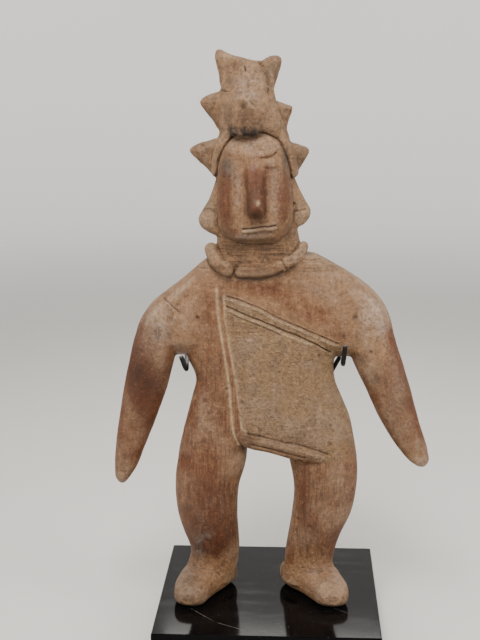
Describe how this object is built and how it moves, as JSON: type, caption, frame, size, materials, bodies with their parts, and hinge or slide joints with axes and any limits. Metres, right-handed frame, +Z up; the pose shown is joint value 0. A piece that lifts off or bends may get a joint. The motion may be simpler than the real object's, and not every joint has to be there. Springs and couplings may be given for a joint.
{
  "type": "shaman figurine",
  "caption": "Flat fired clay figure in a horned animal headdress, standing with arms out on a black slab, steadied by bent rods under the armpits.",
  "frame": {"origin": "middle of the slab's underside", "axes": "+Z up along the figure, the figure's front faces -Y, +X to the viewer's right"},
  "size_m": [0.1761, 0.126, 0.3219],
  "materials": {
    "fired_clay": "burnished buff and red-brown fired clay, matte where it was left unpolished",
    "polished_black": "polished black, finely scratched and dusty",
    "satin_black": "satin black"
  },
  "bodies": {
    "root": {"figurine": "fired_clay", "stand_base": "polished_black", "prong_left": "satin_black", "prong_right": "satin_black"}
  },
  "joints": []
}
